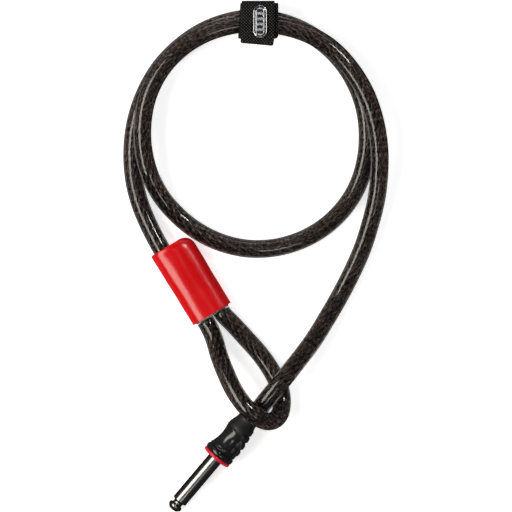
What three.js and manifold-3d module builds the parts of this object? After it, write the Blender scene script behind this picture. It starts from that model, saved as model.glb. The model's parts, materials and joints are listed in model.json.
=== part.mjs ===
// Plug-in loop cable: a jacketed steel rope with a plug on one end and a crimped eye on the other,
// coiled twice, tied by a hook-and-loop strap and lying flat.
// Millimetres. +Z up, z = 0 on the surface it lies on, origin under the middle of its outline.
import * as THREE from 'three';
import { mergeVertices } from 'three/addons/utils/BufferGeometryUtils.js';
import Module from 'manifold-3d';

const wasm = await Module();
wasm.setup();

// ---------- driving dimensions ----------
const GAP = 0.3; // clearance between parts that touch
const CABLE_R = 6; // outside of the jacket
const ROPE_R = 4; // steel rope inside it
const JACKET_BORE_R = 4.6;
const LONG_STEP = 17; // spacing of the cable's sections where it bends wide
const SHORT_STEP = 8.5; // and where it bends tight, by the plug and round the eye
const TIGHT_LENGTH = 102; // the stretch of tight bends after the plug
const FREE_LEAD = 9.7; // straight inside the grip and the cover
const EYE_LEAD = 3; // straight below the ferrule

// plug: distances run along its axis from the front face of the grip, towards the cable
const PLUG_BASE = new THREE.Vector3(-25.1, -132.55, 10.8);
const PLUG_AXIS = new THREE.Vector3(0.645, 0.764, 0.12).normalize(); // its tip rests on the surface
const RING_R = 10.2;
const RING_T = 2.6;
const PIN_R = 5.1;
const PIN_HEAD_R = 4.8;
const PIN_NECK_R = 3.3;
const PIN_TIP_R = 3;
const PIN_LENGTH = 47.7; // tip to the front face of the grip
const PIN_HEAD_LENGTH = 4.1;
const PIN_NECK_LENGTH = 3;
const FLANGE_R = 6.6; // collar of the pin that the red ring holds in the grip
const FLANGE_T = 2.6;
const BARREL_R = 5.4; // back of the pin, swaged on the rope
const BARREL_END = 22;
const SWAGE_DEPTH = 15;
const GRIP_END = 32;
const COLLAR_END = 3.6; // front piece of the grip, over the pin's flange
const BACK_X = -5; // the ribs lie beyond this distance to the side

// ferrule and cover: distances run from the cover's upper end, towards the eye
const COVER_MIDDLE = new THREE.Vector3(-43.3, -15.6, 8.4);
const COVER_AXIS = new THREE.Vector3(0.521, -0.853, 0).normalize();
const COVER_LENGTH = 54;
const COVER_HALF_W = 14.2;
const COVER_HALF_T = 8.3;
const COVER_CAP = 6; // thickness of the cover's closed end
const FERRULE_HALF_W = 12.6;
const FERRULE_HALF_T = 6.7;
const FERRULE_PROUD = 1; // how far the ferrule shows below the cover
const LANE = 6.2; // each rope's distance from the ferrule's middle line
const TAIL_IN_FERRULE = 8; // the rope's cut end stops this far below the ferrule's upper end

// strap: it wraps the coil round the X axis; coordinates are across (y) and up (z)
const STRAP_T = 1.2;
const STRAP_LOW_Y = 145;
const STRAP_HIGH_Y = 170;
const STRAP_TOP = 30.4; // top of the outer layer
const STRAP_CORNER = 6;
const STRAP_FRONT_CORNER = 2.6;
const BAND_X = [-11.6, 14.4];
const TAIL_X = [-9.3, 12.3];
const TAIL_END_Y = 141;
const HOOK_T = 0.8;
const HOOK_Y = [147.5, 165.5];
const BADGE_MIDDLE = [3.3, 156];
const BADGE_W = 10;
const BADGE_L = 21;
const BADGE_RIM = 1.1;
const BADGE_RIM_T = 1.6;
const BADGE_PLATE_T = 1;

// The cable lies free, so its route is a list of places for its centre line.
// Straight out of the plug, over the eye's near leg, twice round the coil and down into the ferrule.
const FREE_ROUTE = [
  [1.8, -102, 15.6], [8.7, -93.8, 17.5], [16.6, -84.2, 18.6], [26.7, -71.4, 16.6], [38.3, -56, 11.4],
  [47, -42, 7.6], [55.3, -27.7, 6], [63.3, -12.3, 6], [70.7, 4.3, 6], [76.3, 21.7, 7.5],
  [80.3, 38.3, 10.5], [82.2, 55.7, 14], [82.1, 73, 16.6], [78.9, 91.6, 17.6], [72.9, 108.6, 18.1],
  [63.4, 124.3, 18.7], [50.5, 138.2, 19.3], [34.3, 148, 19.8], [17.5, 153.1, 19.9],
  [0.3, 155.1, 19.9], [-15.7, 153.7, 19.9], [-33.3, 148.4, 19.8], [-49.7, 138.5, 19.4],
  [-63.1, 124.3, 18.5], [-72, 106.6, 18], [-75.5, 89, 17.5], [-75.3, 73, 16.6], [-71.4, 55.9, 14.5],
  [-63.5, 40.2, 9.5], [-53.3, 28, 6.6], [-40.5, 17.5, 6], [-24.8, 9.5, 6], [-7.7, 5.2, 6],
  [9.6, 5.2, 6], [26.7, 9.3, 6], [42.7, 17.4, 6], [56.6, 29.6, 6], [67.1, 45.3, 6], [73, 63.8, 6],
  [74.4, 82.3, 6], [71.6, 101.4, 6], [63.2, 120.9, 6.2], [49.7, 137.6, 7], [32.9, 149.6, 7.6],
  [16.2, 156.2, 7.7], [0.3, 158.4, 7.7], [-15.9, 156.9, 7.7], [-34.2, 150.5, 7.6], [-50.6, 139.6, 7],
  [-64.2, 125.4, 6.2], [-74.1, 108.2, 6], [-80.2, 89.7, 6], [-82.5, 71, 6], [-81.5, 52.1, 6],
  [-77.5, 35.4, 6.2], [-71.2, 20.1, 7.2],
];
// From the ferrule's left lane over the plug, round the eye and back to its right lane.
const EYE_ROUTE = [
  [-28.3, -54, 10.6], [-24.6, -66.3, 15.4], [-20, -78.2, 21], [-14, -90.5, 26], [-6.4, -100.8, 28.7],
  [0.7, -107.2, 28], [6.8, -110, 24.2], [12.1, -109.3, 18.8], [15.6, -105.8, 13.2],
  [17.2, -99.6, 8.7], [16.7, -90.9, 6.4], [11.9, -79.3, 6.1], [3.7, -66.7, 6.1], [-7, -54.5, 6.8],
  [-15.7, -45.1, 7.7],
];

// ---------- materials ----------
const finish = (color, roughness, metalness) =>
  new THREE.MeshStandardMaterial({ color, roughness, metalness });
const jacketVinyl = finish(0x2b2523, 0.25, 0);
const ropeSteel = finish(0x77706a, 0.35, 1);
const pinSteel = finish(0x4a4848, 0.22, 1);
const gripPlastic = finish(0x1e1e20, 0.3, 0);
const gripRubber = finish(0x262628, 0.7, 0);
const redPlastic = finish(0xd81e2e, 0.35, 0);
const redVinyl = finish(0xc8141a, 0.25, 0);
const ferruleAlloy = finish(0x8b8780, 0.4, 1);
const webbing = finish(0x2e2f31, 0.9, 0);
const hookTape = finish(0x202022, 0.95, 0);
const chrome = finish(0xb9bcc0, 0.15, 1);

// ---------- shape helpers ----------
const model = new THREE.Group();

function addMesh(group, name, geometry, material) {
  const mesh = new THREE.Mesh(geometry, material);
  mesh.name = name;
  group.add(mesh);
}

// A closed geometry as a manifold solid, without its faces of no area.
function toSolid(geometry) {
  const bare = geometry.clone();
  bare.deleteAttribute('normal');
  bare.deleteAttribute('uv');
  const merged = mergeVertices(bare, 1e-3);
  const index = merged.index.array;
  const triVerts = [];
  for (let i = 0; i < index.length; i += 3) {
    const [a, b, c] = index.slice(i, i + 3);
    if (a !== b && b !== c && c !== a) triVerts.push(a, b, c);
  }
  const vertProperties = new Float32Array(merged.attributes.position.array);
  return new wasm.Manifold(
    new wasm.Mesh({ numProp: 3, vertProperties, triVerts: new Uint32Array(triVerts) }),
  );
}

function toGeometry(solid) {
  const { vertProperties, triVerts } = solid.getMesh();
  const geometry = new THREE.BufferGeometry();
  geometry.setAttribute('position', new THREE.BufferAttribute(vertProperties, 3));
  geometry.setIndex(new THREE.BufferAttribute(triVerts, 1));
  geometry.computeVertexNormals();
  return geometry;
}

// A turned piece about the local Z axis; the profile is [radius, z] pairs in rising z.
function turned(profile, segments = 24) {
  const points = profile.map(([radius, z]) => new THREE.Vector2(radius, z));
  return new THREE.LatheGeometry(points, segments).rotateX(Math.PI / 2);
}

function rod(radius, from, to, segments = 24) {
  return turned([[0, from], [radius, from], [radius, to], [0, to]], segments);
}

// A frame whose local Z runs along an axis that lies nearly flat, with local Y up.
function placeAlong(group, origin, axis) {
  const side = new THREE.Vector3(-axis.y, axis.x, 0).normalize();
  const up = new THREE.Vector3().crossVectors(axis, side);
  group.position.copy(origin);
  group.quaternion.setFromRotationMatrix(new THREE.Matrix4().makeBasis(side, up, axis));
  return group;
}

// The place at a distance along an axis, and off it to the side.
function along(origin, axis, distance, side = 0) {
  const across = new THREE.Vector3(-axis.y, axis.x, 0).normalize().multiplyScalar(side);
  return across.addScaledVector(axis, distance).add(origin);
}

// ---------- cable ----------
function directionsOf(points) {
  return points.map((_, i) => {
    const before = points[Math.max(i - 1, 0)];
    const after = points[Math.min(i + 1, points.length - 1)];
    return after.clone().sub(before).normalize();
  });
}

// A curve that is read only at its own stations, so that nested tubes bend alike.
class Stations extends THREE.Curve {
  constructor(points, directions = directionsOf(points)) {
    super();
    this.points = points;
    this.directions = directions;
  }
  getPoint(t) {
    const last = this.points.length - 1;
    return this.points[Math.round(t * last)].clone();
  }
  getPointAt(u) {
    return this.getPoint(u);
  }
  getTangentAt(u) {
    return this.directions[Math.round(u * (this.points.length - 1))].clone();
  }
}

function circle(radius, sides) {
  const points = [];
  for (let i = 0; i < sides; i += 1) {
    const angle = (2 * Math.PI * (i + 0.5)) / sides;
    points.push(new THREE.Vector2(radius * Math.cos(angle), radius * Math.sin(angle)));
  }
  return points;
}

function tube(stations, outerRadius, boreRadius = 0, sides = 10) {
  const section = new THREE.Shape(circle(outerRadius, sides));
  if (boreRadius > 0) section.holes.push(new THREE.Path(circle(boreRadius, sides)));
  return new THREE.ExtrudeGeometry(section, {
    extrudePath: stations,
    steps: stations.points.length - 1,
  });
}

// Places along a route that is straight for a lead at both ends: close together over its first
// stretch and wide apart after that.
function stationsOf(start, startDirection, route, end, endDirection, lead, tightLength = Infinity) {
  const places = [
    start,
    start.clone().addScaledVector(startDirection, lead),
    ...route.map(([x, y, z]) => new THREE.Vector3(x, y, z)),
    end.clone().addScaledVector(endDirection, -lead),
    end,
  ];
  const curve = new THREE.CatmullRomCurve3(places);
  curve.arcLengthDivisions = 2000;
  const length = curve.getLength();
  const tight = Math.min(tightLength, length);
  const shortCount = Math.round(tight / SHORT_STEP);
  const longCount = Math.round((length - tight) / LONG_STEP);
  const points = [];
  for (let i = 0; i < shortCount; i += 1) {
    points.push(curve.getPointAt((tight * i) / shortCount / length));
  }
  for (let i = 0; i < longCount; i += 1) {
    points.push(curve.getPointAt((tight + ((length - tight) * i) / longCount) / length));
  }
  points.push(end);
  const directions = directionsOf(points);
  directions[0] = startDirection;
  directions[directions.length - 1] = endDirection;
  return new Stations(points, directions);
}

const coverTop = along(COVER_MIDDLE, COVER_AXIS, -COVER_LENGTH / 2);
const ferruleEnd = COVER_LENGTH + FERRULE_PROUD;
// The lanes lie to the right (-) and left (+) of the way down the ferrule.
const throughLane = (distance) => along(coverTop, COVER_AXIS, distance, -LANE);
const returnLane = (distance) => along(coverTop, COVER_AXIS, distance, LANE);
const back = COVER_AXIS.clone().negate();

const jacketStart = along(PLUG_BASE, PLUG_AXIS, BARREL_END + GAP);
const freeStations = stationsOf(
  jacketStart, PLUG_AXIS, FREE_ROUTE, throughLane(COVER_CAP), COVER_AXIS, FREE_LEAD, TIGHT_LENGTH);
const eyeStations = stationsOf(
  throughLane(ferruleEnd + GAP), COVER_AXIS, EYE_ROUTE, returnLane(ferruleEnd + GAP), back, EYE_LEAD);

// The jacket is one hose; it is cut into stretches so that each keeps close to its own bend.
const STRETCHES = [
  'plug_run', 'upper_turn_right', 'upper_turn_left', 'lower_turn_right', 'lower_turn_left',
];

function addJackets() {
  const count = freeStations.points.length - 1;
  STRETCHES.forEach((name, i) => {
    const first = Math.round((count * i) / STRETCHES.length);
    const last = Math.round((count * (i + 1)) / STRETCHES.length);
    const points = freeStations.points.slice(first, last + 1);
    const directions = freeStations.directions.slice(first, last + 1);
    if (i > 0) points[0] = points[0].clone().addScaledVector(directions[0], GAP);
    const stretch = new Stations(points, directions);
    addMesh(model, `cable_jacket_${name}`, tube(stretch, CABLE_R, JACKET_BORE_R), jacketVinyl);
  });
  addMesh(model, 'cable_jacket_eye', tube(eyeStations, CABLE_R, JACKET_BORE_R), jacketVinyl);
}

function addRope() {
  const inPlug = along(PLUG_BASE, PLUG_AXIS, BARREL_END - SWAGE_DEPTH + GAP);
  const inFerrule = returnLane(COVER_CAP + GAP + TAIL_IN_FERRULE);
  const points = [inPlug, ...freeStations.points, ...eyeStations.points, inFerrule];
  addMesh(model, 'wire_rope', tube(new Stations(points), ROPE_R, 0, 8), ropeSteel);
}

// ---------- plug ----------
const REACH = 12; // past the widest part of the plug

// Outline of the smooth grip: [radius, distance] pairs.
const GRIP_OUTLINE = [
  [10.4, 0], [10.4, 2.2], [9.5, 3.2], [9.2, 4.2], [8.8, 6], [8.1, 9], [7.8, 12], [7.8, 15], [8.3, 18],
  [8.8, 21], [8.7, 23.5], [7.9, 26.5], [7.2, 29], [7.1, GRIP_END],
];
const RIBS = [[10.5, 9.2], [10.2, 14.7], [9.4, 20.2], [8.3, 25.2]]; // [crest radius, distance]
const RIB_HALF = 1.5;
const RIB_DEPTH = 0.9;
// Edge of the rubber, which leaves a window for the hard saddle: [distance, side] pairs.
const RUBBER_EDGE = [
  [COLLAR_END + GAP, -7.7], [8.5, -7.9], [13.7, -7.1], [17.5, -5.7],
  [19.7, -2.9], [20.4, 1.6], [20.5, REACH],
];

function ribbedOutline() {
  const outline = [[9.9, COLLAR_END + GAP], [9.8, 6.2]];
  RIBS.forEach(([crest, at], i) => {
    outline.push([crest, at - RIB_HALF], [crest, at + RIB_HALF - 0.6]);
    const next = RIBS[i + 1] ? RIBS[i + 1][0] : 8;
    outline.push([Math.min(crest, next) - RIB_DEPTH, at + RIB_HALF + 0.6]);
  });
  outline.push([7.2, GRIP_END]);
  return outline;
}

const capped = (outline) => [[0, outline[0][1]], ...outline, [0, outline.at(-1)[1]]];

// A block through the whole grip; its outline is [distance, side] pairs.
function throughBlock(outline) {
  const shape = new THREE.Shape(outline.map(([distance, side]) => new THREE.Vector2(distance, side)));
  const block = new THREE.ExtrudeGeometry(shape, { depth: 2 * REACH, bevelEnabled: false });
  const axes = new THREE.Matrix4().makeBasis(
    new THREE.Vector3(0, 0, 1), new THREE.Vector3(1, 0, 0), new THREE.Vector3(0, 1, 0));
  return toSolid(block.applyMatrix4(axes).translate(0, -REACH, 0));
}

// The bore through the grip: a seat for the pin's flange, then its barrel, then the cable.
function gripBore() {
  const seat = FLANGE_T + 2 * GAP;
  return toSolid(turned([
    [0, -1], [FLANGE_R + GAP, -1], [FLANGE_R + GAP, seat], [BARREL_R + GAP, seat],
    [BARREL_R + GAP, BARREL_END], [CABLE_R + GAP, BARREL_END],
    [CABLE_R + GAP, GRIP_END - 4], [CABLE_R + 2 * GAP, GRIP_END + 1], [0, GRIP_END + 1],
  ]));
}

// The grip's collar, its hard body and the rubber moulded round the body's back and rear.
function gripShapes() {
  const smooth = toSolid(turned(capped(GRIP_OUTLINE), 32));
  const ribbed = toSolid(turned(capped(ribbedOutline()), 32));
  const bore = gripBore();
  const front = throughBlock([[-1, -REACH], [COLLAR_END, -REACH], [COLLAR_END, REACH], [-1, REACH]]);
  const rubberStart = COLLAR_END + GAP;
  const behind = throughBlock([
    [rubberStart, -REACH], [GRIP_END + 1, -REACH], [GRIP_END + 1, REACH], [rubberStart, REACH]]);
  const linerR = CABLE_R + 0.7;
  const liner = toSolid(rod(linerR, -1, BARREL_END, 32));
  const linerRoom = toSolid(rod(linerR + GAP, -1, BARREL_END + GAP, 32));
  const rubberRegion = (grow) => throughBlock([
    [rubberStart - grow, -REACH],
    ...RUBBER_EDGE.map(([distance, side]) => [distance - grow, side + grow]),
    [GRIP_END + 1, REACH], [GRIP_END + 1, -REACH],
  ]);
  const backStrip = throughBlock([
    [rubberStart, -REACH], [GRIP_END + 1, -REACH], [GRIP_END + 1, BACK_X], [rubberStart, BACK_X]]);

  const outer = smooth.subtract(backStrip).add(ribbed.intersect(backStrip));
  const rubber = outer.intersect(rubberRegion(0)).subtract(linerRoom).subtract(bore);
  const body = smooth.intersect(behind).subtract(rubberRegion(GAP).subtract(liner)).subtract(bore);
  const collar = smooth.intersect(front).subtract(bore);
  return { body, rubber, collar };
}

function addPlug() {
  const plug = placeAlong(new THREE.Group(), PLUG_BASE, PLUG_AXIS);
  const headEnd = -PIN_LENGTH + PIN_HEAD_LENGTH;
  const neckEnd = headEnd + PIN_NECK_LENGTH;
  const pin = turned([
    [0, -PIN_LENGTH], [PIN_TIP_R, -PIN_LENGTH], [PIN_HEAD_R, headEnd - 1.5], [PIN_HEAD_R, headEnd],
    [PIN_NECK_R, headEnd + 0.3], [PIN_NECK_R, neckEnd - 0.3], [PIN_R, neckEnd], [PIN_R, GAP],
    [FLANGE_R, GAP], [FLANGE_R, GAP + FLANGE_T], [BARREL_R, GAP + FLANGE_T], [BARREL_R, BARREL_END],
    [ROPE_R + GAP, BARREL_END], [ROPE_R + GAP, BARREL_END - SWAGE_DEPTH], [0, BARREL_END - SWAGE_DEPTH],
  ]);
  addMesh(plug, 'locking_pin', pin, pinSteel);

  const ring = turned([
    [PIN_R + GAP, -RING_T], [RING_R - 0.4, -RING_T], [RING_R, -RING_T + 0.4], [RING_R, -GAP],
    [PIN_R + GAP, -GAP], [PIN_R + GAP, -RING_T],
  ], 32);
  addMesh(plug, 'plug_ring', ring, redPlastic);

  const { body, rubber, collar } = gripShapes();
  addMesh(plug, 'grip_collar', toGeometry(collar), gripPlastic);
  addMesh(plug, 'grip_body', toGeometry(body), gripPlastic);
  addMesh(plug, 'grip_rubber', toGeometry(rubber), gripRubber);
  model.add(plug);
}

// ---------- ferrule and its cover ----------
// An oval with round ends, as wide and thick as the two ropes side by side need.
function oval(halfWidth, halfThickness, centre = 0, sides = 32, squareness = 2.8) {
  const points = [];
  const power = (value) => Math.sign(value) * Math.abs(value) ** (2 / squareness);
  for (let i = 0; i < sides; i += 1) {
    const angle = (2 * Math.PI * i) / sides;
    points.push([centre + halfWidth * power(Math.cos(angle)), halfThickness * power(Math.sin(angle))]);
  }
  return points;
}

// Joins outlines of equal count, each [points, z], into one closed body.
function loft(sections) {
  const count = sections[0][0].length;
  const position = [];
  const index = [];
  sections.forEach(([points, z]) => points.forEach(([x, y]) => position.push(x, y, z)));
  for (let s = 0; s < sections.length - 1; s += 1) {
    for (let i = 0; i < count; i += 1) {
      const a = s * count + i;
      const b = s * count + ((i + 1) % count);
      index.push(a, b, b + count, a, b + count, a + count);
    }
  }
  const lastRing = (sections.length - 1) * count;
  for (let i = 1; i < count - 1; i += 1) {
    index.push(0, i + 1, i);
    index.push(lastRing, lastRing + i, lastRing + i + 1);
  }
  const geometry = new THREE.BufferGeometry();
  geometry.setAttribute('position', new THREE.Float32BufferAttribute(position, 3));
  geometry.setIndex(index);
  geometry.computeVertexNormals();
  return geometry;
}

// The cover's shoulder is rounded on the side away from the cable.
function coverSection(distance) {
  const quarter = (length) => 1 - Math.sqrt(1 - Math.max(0, 1 - distance / length) ** 2);
  const farSide = COVER_HALF_W - 7.5 * quarter(8);
  const thickness = COVER_HALF_T - 1.4 * quarter(4);
  const halfWidth = (farSide + COVER_HALF_W) / 2;
  return [oval(halfWidth, thickness, (farSide - COVER_HALF_W) / 2), distance];
}

function addFerrule() {
  const crimp = placeAlong(new THREE.Group(), coverTop, COVER_AXIS);
  const ferruleTop = COVER_CAP + GAP;
  const shell = toSolid(loft([0, 0.8, 1.8, 3, 4.5, 6.2, 8, COVER_LENGTH].map(coverSection)));
  const room = toSolid(loft([
    [oval(FERRULE_HALF_W + GAP, FERRULE_HALF_T + GAP), COVER_CAP],
    [oval(FERRULE_HALF_W + GAP, FERRULE_HALF_T + GAP), COVER_LENGTH + 1],
  ]));
  const entry = toSolid(rod(CABLE_R + GAP, -1, COVER_CAP + 1).translate(-LANE, 0, 0));
  const cover = shell.subtract(room).subtract(entry);
  addMesh(crimp, 'ferrule_cover', toGeometry(cover), redVinyl);

  const sleeve = toSolid(loft([
    [oval(FERRULE_HALF_W - 0.8, FERRULE_HALF_T - 0.8), ferruleTop],
    [oval(FERRULE_HALF_W, FERRULE_HALF_T), ferruleTop + 1],
    [oval(FERRULE_HALF_W, FERRULE_HALF_T), ferruleEnd],
  ]));
  const lane = (side) =>
    toSolid(rod(ROPE_R + GAP, ferruleTop - 1, ferruleEnd + 1).translate(side * LANE, 0, 0));
  const ferrule = sleeve.subtract(lane(1)).subtract(lane(-1));
  addMesh(crimp, 'loop_ferrule', toGeometry(ferrule), ferruleAlloy);
  model.add(crimp);
}

// ---------- strap ----------
// An outline across and up, pushed along X from one edge of the strap to the other.
function strapPiece(shape, [from, to], curveSegments = 6) {
  const geometry = new THREE.ExtrudeGeometry(shape, {
    depth: to - from, bevelEnabled: false, curveSegments,
  });
  const axes = new THREE.Matrix4().makeBasis(
    new THREE.Vector3(0, 1, 0), new THREE.Vector3(0, 0, 1), new THREE.Vector3(1, 0, 0));
  return geometry.applyMatrix4(axes).translate(from, 0, 0);
}

const rectangle = (yFrom, yTo, zFrom, zTo) => new THREE.Shape([
  new THREE.Vector2(yFrom, zFrom), new THREE.Vector2(yTo, zFrom),
  new THREE.Vector2(yTo, zTo), new THREE.Vector2(yFrom, zTo),
]);

const outerLayerBase = STRAP_TOP - STRAP_T;
const hookBase = outerLayerBase - GAP - HOOK_T;
const innerLayerTop = hookBase - GAP;
const hingeY = STRAP_HIGH_Y - STRAP_FRONT_CORNER;

// One strip: under the tail, round the lower side, underneath and up the far side to the hinge.
function bandOutline() {
  const quarter = Math.PI / 2;
  const thin = STRAP_T;
  const round = STRAP_CORNER;
  const startY = hingeY - 2;
  const shape = new THREE.Shape();
  shape.moveTo(startY, innerLayerTop);
  shape.lineTo(STRAP_LOW_Y + round, innerLayerTop);
  shape.absarc(STRAP_LOW_Y + round, innerLayerTop - round, round, quarter, 2 * quarter);
  shape.lineTo(STRAP_LOW_Y, round);
  shape.absarc(STRAP_LOW_Y + round, round, round, 2 * quarter, 3 * quarter);
  shape.lineTo(STRAP_HIGH_Y - round, 0);
  shape.absarc(STRAP_HIGH_Y - round, round, round, 3 * quarter, 4 * quarter);
  shape.lineTo(STRAP_HIGH_Y, STRAP_TOP - STRAP_FRONT_CORNER);
  shape.absarc(hingeY, STRAP_TOP - STRAP_FRONT_CORNER, STRAP_FRONT_CORNER, 0, quarter);
  shape.lineTo(hingeY, STRAP_TOP - thin);
  shape.absarc(hingeY, STRAP_TOP - STRAP_FRONT_CORNER, STRAP_FRONT_CORNER - thin, quarter, 0, true);
  shape.lineTo(STRAP_HIGH_Y - thin, round);
  shape.absarc(STRAP_HIGH_Y - round, round, round - thin, 4 * quarter, 3 * quarter, true);
  shape.lineTo(STRAP_LOW_Y + round, thin);
  shape.absarc(STRAP_LOW_Y + round, round, round - thin, 3 * quarter, 2 * quarter, true);
  shape.lineTo(STRAP_LOW_Y + thin, innerLayerTop - round);
  shape.absarc(
    STRAP_LOW_Y + round, innerLayerTop - round, round - thin, 2 * quarter, quarter, true);
  shape.lineTo(startY, innerLayerTop - thin);
  return shape;
}

function pill(shape, width, length) {
  const radius = width / 2;
  const [x, y] = BADGE_MIDDLE;
  const reach = length / 2 - radius;
  shape.absarc(x, y + reach, radius, 0, Math.PI);
  shape.absarc(x, y - reach, radius, Math.PI, 2 * Math.PI);
  return shape;
}

function plate(shape, thickness) {
  const geometry = new THREE.ExtrudeGeometry(shape, {
    depth: thickness, bevelEnabled: false, curveSegments: 10,
  });
  return geometry.translate(0, 0, STRAP_TOP + GAP);
}

function addStrap() {
  addMesh(model, 'strap_band', strapPiece(bandOutline(), BAND_X), webbing);
  const tail = rectangle(TAIL_END_Y, hingeY - GAP, outerLayerBase, STRAP_TOP);
  addMesh(model, 'strap_tail', strapPiece(tail, TAIL_X), webbing);
  const hooks = rectangle(HOOK_Y[0], HOOK_Y[1], hookBase, hookBase + HOOK_T);
  addMesh(model, 'hook_patch', strapPiece(hooks, [TAIL_X[0] + 1, TAIL_X[1] - 1]), hookTape);

  const rim = pill(new THREE.Shape(), BADGE_W, BADGE_L);
  rim.holes.push(pill(new THREE.Path(), BADGE_W - 2 * BADGE_RIM, BADGE_L - 2 * BADGE_RIM));
  addMesh(model, 'badge_rim', plate(rim, BADGE_RIM_T), chrome);
  const inset = BADGE_RIM + GAP;
  const face = pill(new THREE.Shape(), BADGE_W - 2 * inset, BADGE_L - 2 * inset);
  addMesh(model, 'badge_plate', plate(face, BADGE_PLATE_T), chrome);
}

addJackets();
addRope();
addPlug();
addFerrule();
addStrap();

export default model;
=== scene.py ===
"""Plug-in loop cable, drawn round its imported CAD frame.

A clear smoke jacket over real helical wires, a plug with a polished pin, a dipped red ferrule
cover and a woven strap with a plain badge. Metres, in the frame's own axes: +Z up.
"""
import json
import math

import bpy
import numpy as np
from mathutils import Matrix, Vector


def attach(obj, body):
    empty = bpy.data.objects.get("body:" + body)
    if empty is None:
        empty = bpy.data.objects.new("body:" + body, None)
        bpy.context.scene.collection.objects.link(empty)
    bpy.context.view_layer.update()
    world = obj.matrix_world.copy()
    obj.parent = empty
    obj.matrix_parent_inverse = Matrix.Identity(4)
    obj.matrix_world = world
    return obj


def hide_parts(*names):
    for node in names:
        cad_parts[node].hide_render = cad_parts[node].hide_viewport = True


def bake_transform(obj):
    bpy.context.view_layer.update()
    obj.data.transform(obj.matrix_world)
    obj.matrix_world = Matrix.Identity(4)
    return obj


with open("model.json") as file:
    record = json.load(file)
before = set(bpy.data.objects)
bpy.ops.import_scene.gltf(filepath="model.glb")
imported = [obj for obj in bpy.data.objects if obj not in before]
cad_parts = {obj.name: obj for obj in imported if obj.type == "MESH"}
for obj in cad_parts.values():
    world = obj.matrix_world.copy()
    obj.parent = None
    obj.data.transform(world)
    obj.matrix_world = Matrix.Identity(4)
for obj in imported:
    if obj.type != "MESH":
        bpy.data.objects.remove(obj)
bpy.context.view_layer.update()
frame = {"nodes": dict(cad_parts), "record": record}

MM = 0.001
mounts = {mount["name"]: mount for mount in frame["record"]["mounts"]}

# ---------- driving dimensions, as in the CAD ----------
CABLE_R = 6 * MM
ROPE_R = 3.5 * MM
STRANDS = 6
STRAND_R = ROPE_R / 3
WIRES = 12
STRAND_LAY = 46 * MM
WIRE_LAY = 25 * MM
PIN_LENGTH = 47.7 * MM
BARREL_END = 22.3 * MM
ROPE_REACH = 14 * MM  # how far the rope goes into the barrel and into the ferrule
GRIP_END = 32 * MM
GRIP_LEAD = 9.7 * MM
FERRULE_END = 55.3 * MM
LANE = 6.2 * MM
EYE_LEAD = 3 * MM

# The cable's route over the surface, place by place: plug, coil, ferrule; then the eye.
FREE_ROUTE = [
    (0.0018, -0.1020, 0.0156), (0.0087, -0.0938, 0.0175), (0.0166, -0.0842, 0.0186),
    (0.0267, -0.0714, 0.0166), (0.0383, -0.0560, 0.0114), (0.0470, -0.0420, 0.0076),
    (0.0553, -0.0277, 0.0060), (0.0633, -0.0123, 0.0060), (0.0707, 0.0043, 0.0060),
    (0.0763, 0.0217, 0.0075), (0.0803, 0.0383, 0.0105), (0.0822, 0.0557, 0.0140),
    (0.0821, 0.0730, 0.0166), (0.0789, 0.0916, 0.0176), (0.0729, 0.1086, 0.0181),
    (0.0634, 0.1243, 0.0187), (0.0505, 0.1382, 0.0193), (0.0343, 0.1480, 0.0198),
    (0.0175, 0.1531, 0.0199), (0.0003, 0.1551, 0.0199), (-0.0157, 0.1537, 0.0199),
    (-0.0333, 0.1484, 0.0198), (-0.0497, 0.1385, 0.0194), (-0.0631, 0.1243, 0.0185),
    (-0.0720, 0.1066, 0.0180), (-0.0755, 0.0890, 0.0175), (-0.0753, 0.0730, 0.0166),
    (-0.0714, 0.0559, 0.0145), (-0.0635, 0.0402, 0.0095), (-0.0533, 0.0280, 0.0066),
    (-0.0405, 0.0175, 0.0060), (-0.0248, 0.0095, 0.0060), (-0.0077, 0.0052, 0.0060),
    (0.0096, 0.0052, 0.0060), (0.0267, 0.0093, 0.0060), (0.0427, 0.0174, 0.0060),
    (0.0566, 0.0296, 0.0060), (0.0671, 0.0453, 0.0060), (0.0730, 0.0638, 0.0060),
    (0.0744, 0.0823, 0.0060), (0.0716, 0.1014, 0.0060), (0.0632, 0.1209, 0.0062),
    (0.0497, 0.1376, 0.0070), (0.0329, 0.1496, 0.0076), (0.0162, 0.1562, 0.0077),
    (0.0003, 0.1584, 0.0077), (-0.0159, 0.1569, 0.0077), (-0.0342, 0.1505, 0.0076),
    (-0.0506, 0.1396, 0.0070), (-0.0642, 0.1254, 0.0062), (-0.0741, 0.1082, 0.0060),
    (-0.0802, 0.0897, 0.0060), (-0.0825, 0.0710, 0.0060), (-0.0815, 0.0521, 0.0060),
    (-0.0775, 0.0354, 0.0062), (-0.0712, 0.0201, 0.0072),
]
EYE_ROUTE = [
    (-0.0283, -0.0540, 0.0106), (-0.0246, -0.0663, 0.0154), (-0.0200, -0.0782, 0.0210),
    (-0.0140, -0.0905, 0.0260), (-0.0064, -0.1008, 0.0287), (0.0007, -0.1072, 0.0280),
    (0.0068, -0.1100, 0.0242), (0.0121, -0.1093, 0.0188), (0.0156, -0.1058, 0.0132),
    (0.0172, -0.0996, 0.0087), (0.0167, -0.0909, 0.0064), (0.0119, -0.0793, 0.0061),
    (0.0037, -0.0667, 0.0061), (-0.0070, -0.0545, 0.0068), (-0.0157, -0.0451, 0.0077),
]

# Where the cable meets the ferrule: going in, coming out to the eye, and coming back.
LANE_IN = (-0.059537, -0.000910, 0.0084)
LANE_OUT = (-0.033840, -0.042983, 0.0084)
LANE_BACK = (-0.023258, -0.036520, 0.0084)


# ---------- places and directions ----------
def unit(vector):
    vector = np.asarray(vector, float)
    return vector / np.linalg.norm(vector)


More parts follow.
